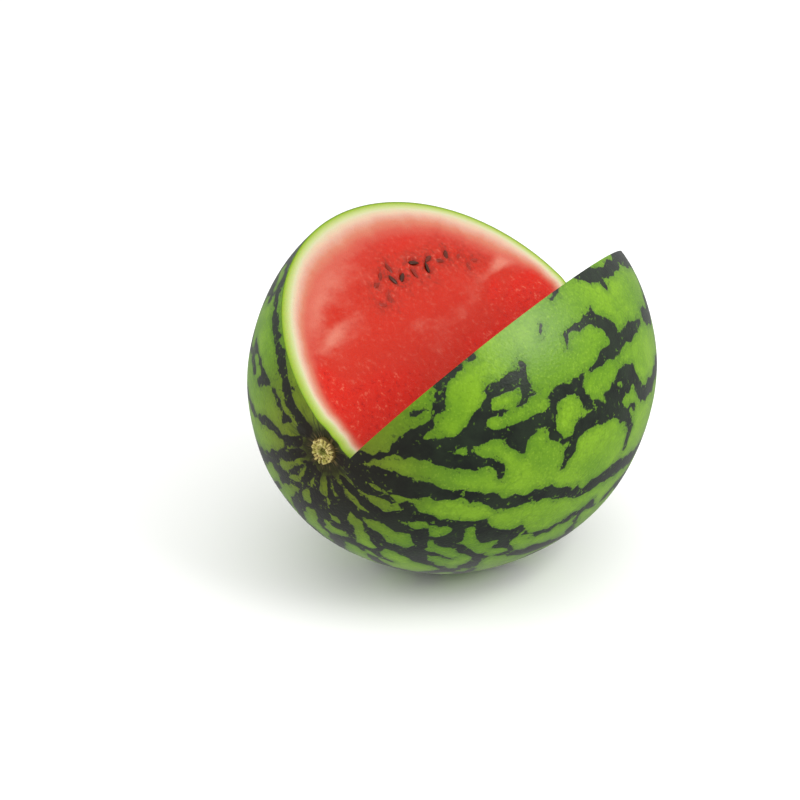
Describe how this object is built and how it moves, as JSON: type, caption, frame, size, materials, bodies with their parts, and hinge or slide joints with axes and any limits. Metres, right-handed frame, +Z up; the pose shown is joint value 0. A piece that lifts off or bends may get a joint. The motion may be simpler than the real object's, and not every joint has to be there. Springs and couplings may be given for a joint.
{
  "type": "watermelon",
  "caption": "Striped green watermelon with a lengthwise quarter cut out of its top, showing red flesh and dark seeds, resting on a small flat spot.",
  "frame": {"origin": "on the resting plane, under the middle of the fruit", "axes": "+Z up out of the open notch; the fruit's long axis along Y, with the stem end at -Y and the blossom end at +Y; the taller side of the notch at -X"},
  "size_m": [0.23, 0.2569, 0.1941],
  "materials": {
    "rind_and_flesh": "waxy striped green skin, and wet red flesh where cut",
    "stem_cork": "dry, corky, matt",
    "seed_coat": "smooth, slightly wet"
  },
  "bodies": {
    "root": {"melon_body": "rind_and_flesh", "stem_stub": "stem_cork", "seed_left_01": "seed_coat", "seed_left_02": "seed_coat", "seed_left_03": "seed_coat", "seed_left_04": "seed_coat", "seed_left_05": "seed_coat", "seed_left_06": "seed_coat", "seed_left_07": "seed_coat", "seed_left_08": "seed_coat", "seed_left_09": "seed_coat", "seed_left_10": "seed_coat", "seed_left_11": "seed_coat", "seed_left_12": "seed_coat", "seed_left_13": "seed_coat", "seed_left_14": "seed_coat", "seed_left_15": "seed_coat", "seed_left_16": "seed_coat", "seed_right_01": "seed_coat", "seed_right_02": "seed_coat", "seed_right_03": "seed_coat", "seed_right_04": "seed_coat", "seed_right_05": "seed_coat", "seed_right_06": "seed_coat", "seed_right_07": "seed_coat", "seed_right_08": "seed_coat", "seed_right_09": "seed_coat", "seed_right_10": "seed_coat"}
  },
  "joints": []
}
